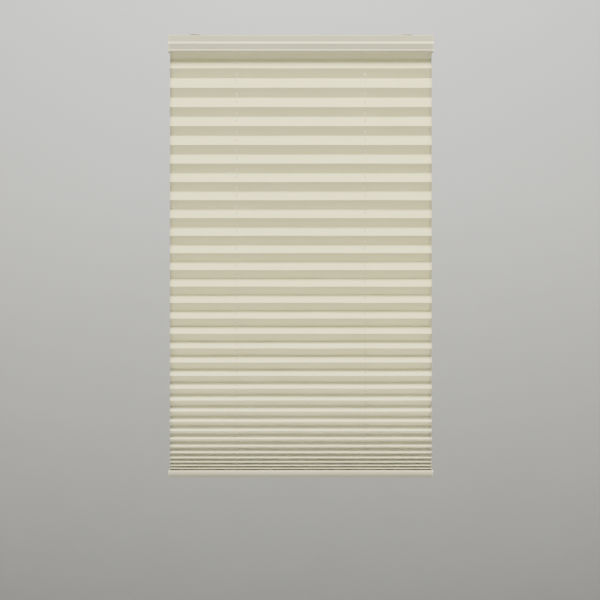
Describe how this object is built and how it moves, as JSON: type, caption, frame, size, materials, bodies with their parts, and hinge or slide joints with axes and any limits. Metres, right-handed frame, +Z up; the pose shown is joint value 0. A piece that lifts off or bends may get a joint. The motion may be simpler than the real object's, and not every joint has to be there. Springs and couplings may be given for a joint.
{
  "type": "pleated blind",
  "caption": "Cordless pleated blind: a head rail with a spring lift, an accordion-folded fabric sheet and a weighted bottom rail that stays where it is put.",
  "frame": {"origin": "midway between the two clip brackets, on the plane of their top faces", "axes": "+X along the width to the right as seen from the room, -Y towards the room, +Z up"},
  "size_m": [0.775, 0.0535, 1.2969],
  "materials": {
    "rail_finish": "alabaster powder coat, satin",
    "cap_plastic": "off-white moulding",
    "fabric": "ivory crepe weave, stiffened and pleated",
    "cord": "braided polyester",
    "strip_plastic": "extruded white strip",
    "zinc_steel": "zinc plated",
    "ground_steel": "ground",
    "housing_plastic": "moulded, fine texture",
    "gear_plastic": "moulded acetal",
    "clear_plastic": "moulded button"
  },
  "bodies": {
    "head_rail": {"head_rail": "rail_finish", "head_cap_left": "cap_plastic", "head_cap_right": "cap_plastic", "bracket_left": "zinc_steel", "bracket_right": "zinc_steel", "motor_housing": "housing_plastic", "motor_cover": "housing_plastic", "motor_screws": "zinc_steel", "motor_axles": "ground_steel", "motor_spring": "ground_steel", "top_strip": "strip_plastic", "pleated_fabric": "fabric", "cord_guide_left": "housing_plastic", "cord_guide_right": "housing_plastic", "guide_pin_left": "ground_steel", "guide_pin_right": "ground_steel", "lift_cord_left": "cord", "lift_cord_right": "cord"},
    "bottom_rail": {"bottom_rail": "rail_finish", "bottom_strip": "strip_plastic", "bottom_cap_left": "cap_plastic", "bottom_cap_right": "cap_plastic", "weight_bar": "zinc_steel", "cord_anchor_left": "clear_plastic", "cord_anchor_right": "clear_plastic"},
    "spool_left": {"spool_left": "gear_plastic"},
    "drive_drum": {"drive_drum": "gear_plastic"},
    "idler_gear": {"idler_gear": "gear_plastic"},
    "storage_drum": {"storage_drum": "gear_plastic"},
    "spool_right": {"spool_right": "gear_plastic"},
    "guide_roller_left": {"guide_roller_left": "gear_plastic"},
    "guide_roller_right": {"guide_roller_right": "gear_plastic"}
  },
  "joints": [
    {"name": "bottom_rail_slide", "type": "slide", "parent": "head_rail", "child": "bottom_rail", "axis": [0, 0, 1], "range_m": [-0.21, 1.17], "deforming": ["pleated_fabric", "lift_cord_left", "lift_cord_right", "motor_spring"]},
    {"name": "spool_left_spin", "type": "hinge", "parent": "head_rail", "child": "spool_left", "pos_m": [-0.039, 0, -0.025], "axis": [0, 0, 1], "range_deg": [-1248, 6948]},
    {"name": "drive_drum_spin", "type": "hinge", "parent": "head_rail", "child": "drive_drum", "pos_m": [-0.013, 0, -0.025], "axis": [0, 0, 1], "range_deg": [-6948, 1248]},
    {"name": "idler_gear_spin", "type": "hinge", "parent": "head_rail", "child": "idler_gear", "pos_m": [0.013, 0, -0.025], "axis": [0, 0, 1], "range_deg": [-1248, 6948]},
    {"name": "storage_drum_spin", "type": "hinge", "parent": "head_rail", "child": "storage_drum", "pos_m": [0.013, 0, -0.025], "axis": [0, 0, 1], "range_deg": [-1248, 6948]},
    {"name": "spool_right_spin", "type": "hinge", "parent": "head_rail", "child": "spool_right", "pos_m": [0.039, 0, -0.025], "axis": [0, 0, 1], "range_deg": [-6948, 1248]},
    {"name": "guide_roller_left_spin", "type": "hinge", "parent": "head_rail", "child": "guide_roller_left", "pos_m": [-0.18235, 0, -0.02765], "axis": [0, 1, 0], "range_deg": [-2131, 11866]},
    {"name": "guide_roller_right_spin", "type": "hinge", "parent": "head_rail", "child": "guide_roller_right", "pos_m": [0.18235, 0, -0.02765], "axis": [0, 1, 0], "range_deg": [-11866, 2131]}
  ],
  "couplings": [
    {"joint": "spool_left_spin", "follows": "bottom_rail_slide", "rad_per_m": 103.63},
    {"joint": "drive_drum_spin", "follows": "bottom_rail_slide", "rad_per_m": -103.63},
    {"joint": "idler_gear_spin", "follows": "bottom_rail_slide", "rad_per_m": 103.63},
    {"joint": "storage_drum_spin", "follows": "bottom_rail_slide", "rad_per_m": 103.63},
    {"joint": "spool_right_spin", "follows": "bottom_rail_slide", "rad_per_m": -103.63},
    {"joint": "guide_roller_left_spin", "follows": "bottom_rail_slide", "rad_per_m": 176.99},
    {"joint": "guide_roller_right_spin", "follows": "bottom_rail_slide", "rad_per_m": -176.99}
  ]
}
